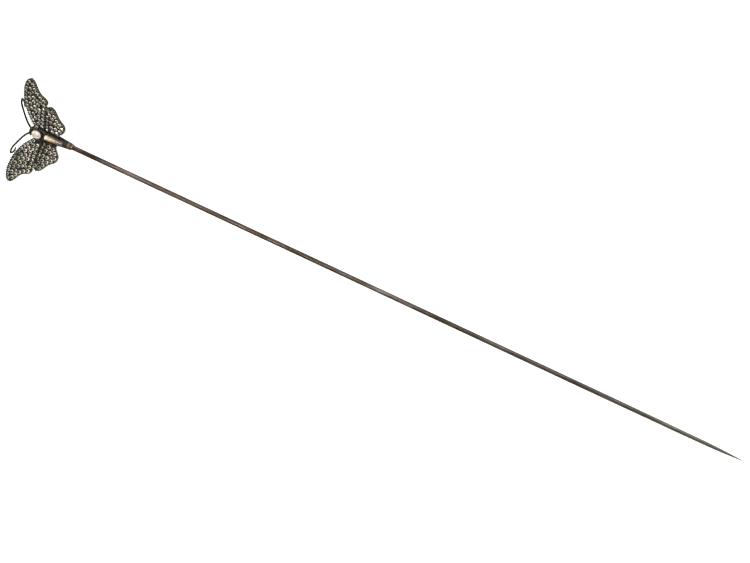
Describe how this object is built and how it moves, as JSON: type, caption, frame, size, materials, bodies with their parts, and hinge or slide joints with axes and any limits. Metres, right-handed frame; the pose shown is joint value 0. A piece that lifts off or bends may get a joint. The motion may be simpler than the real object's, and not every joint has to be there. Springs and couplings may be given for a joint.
{
  "type": "hat pin",
  "caption": "Long straight hat pin with a stone-set butterfly head: four wings, an oval and a long body stone, hooked antennae and a tapering point.",
  "frame": {"origin": "on the stem's axis, at the mouth of the tail ferrule where the bare stem starts", "axes": "+X runs along the stem to its point, +Z is the way the butterfly's face looks, +Y is out along its right-hand wings"},
  "size_m": [0.2025, 0.0282, 0.0059],
  "materials": {
    "dark_silver": "oxidised silver, satin",
    "stem_steel": "browned steel, worn smooth",
    "pave_stone": "faceted foil-backed paste, polished",
    "oval_stone": "milky cabochon, polished",
    "long_stone": "cream to brown cabochon, polished"
  },
  "bodies": {
    "root": {"pin_stem": "stem_steel", "tail_ferrule": "dark_silver", "abdomen_sheath": "dark_silver", "abdomen_cabochon": "long_stone", "thorax_block": "dark_silver", "thorax_collet": "dark_silver", "thorax_cabochon": "oval_stone", "head": "dark_silver", "eye_left": "dark_silver", "eye_right": "dark_silver", "antenna_left": "dark_silver", "antenna_right": "dark_silver", "forewing_left": "dark_silver", "forewing_right": "dark_silver", "hindwing_left": "dark_silver", "hindwing_right": "dark_silver", "forewing_stones_left": "pave_stone", "forewing_stones_right": "pave_stone", "hindwing_stones_left": "pave_stone", "hindwing_stones_right": "pave_stone"}
  },
  "joints": []
}
